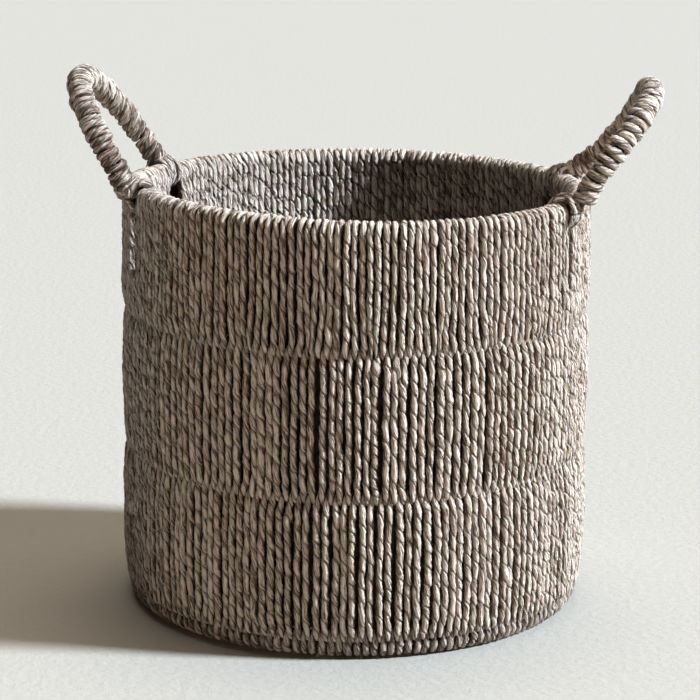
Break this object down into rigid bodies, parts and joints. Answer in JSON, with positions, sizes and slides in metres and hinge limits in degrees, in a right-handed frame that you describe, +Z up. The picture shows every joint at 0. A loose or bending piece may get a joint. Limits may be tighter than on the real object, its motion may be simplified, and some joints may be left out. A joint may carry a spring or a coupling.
{
  "type": "woven laundry basket",
  "caption": "Round open basket of twisted cord wound over a wire frame in tiers, with a loop handle leaning out from each side of the rim.",
  "frame": {"origin": "on the floor, at the middle of the round base", "axes": "+Z up; the two handles stand over +X and -X; -Y is the side seen in front"},
  "size_m": [0.5026, 0.4, 0.457],
  "materials": {
    "wall_cord": "twisted grass cord, matt with a faint waxy sheen",
    "base_cord": "twisted grass cord, matt, a little darker",
    "handle_cord": "twisted grass cord, matt, a little lighter",
    "wire": "dark satin coating"
  },
  "bodies": {
    "root": {"front_panel": "wall_cord", "back_panel": "wall_cord", "left_panel": "wall_cord", "right_panel": "wall_cord", "middle_tier": "wall_cord", "lower_tier": "wall_cord", "base_winding": "base_cord", "base_coil": "base_cord", "left_handle_winding": "handle_cord", "right_handle_winding": "handle_cord", "left_front_lashing": "handle_cord", "left_back_lashing": "handle_cord", "right_front_lashing": "handle_cord", "right_back_lashing": "handle_cord", "rim_ring": "wire", "upper_ring": "wire", "lower_ring": "wire", "base_ring": "wire", "floor_ring": "wire", "hub_ring": "wire", "upright_1": "wire", "upright_2": "wire", "upright_3": "wire", "upright_4": "wire", "upright_5": "wire", "upright_6": "wire", "upright_7": "wire", "upright_8": "wire", "left_handle_wire": "wire", "right_handle_wire": "wire"}
  },
  "joints": []
}
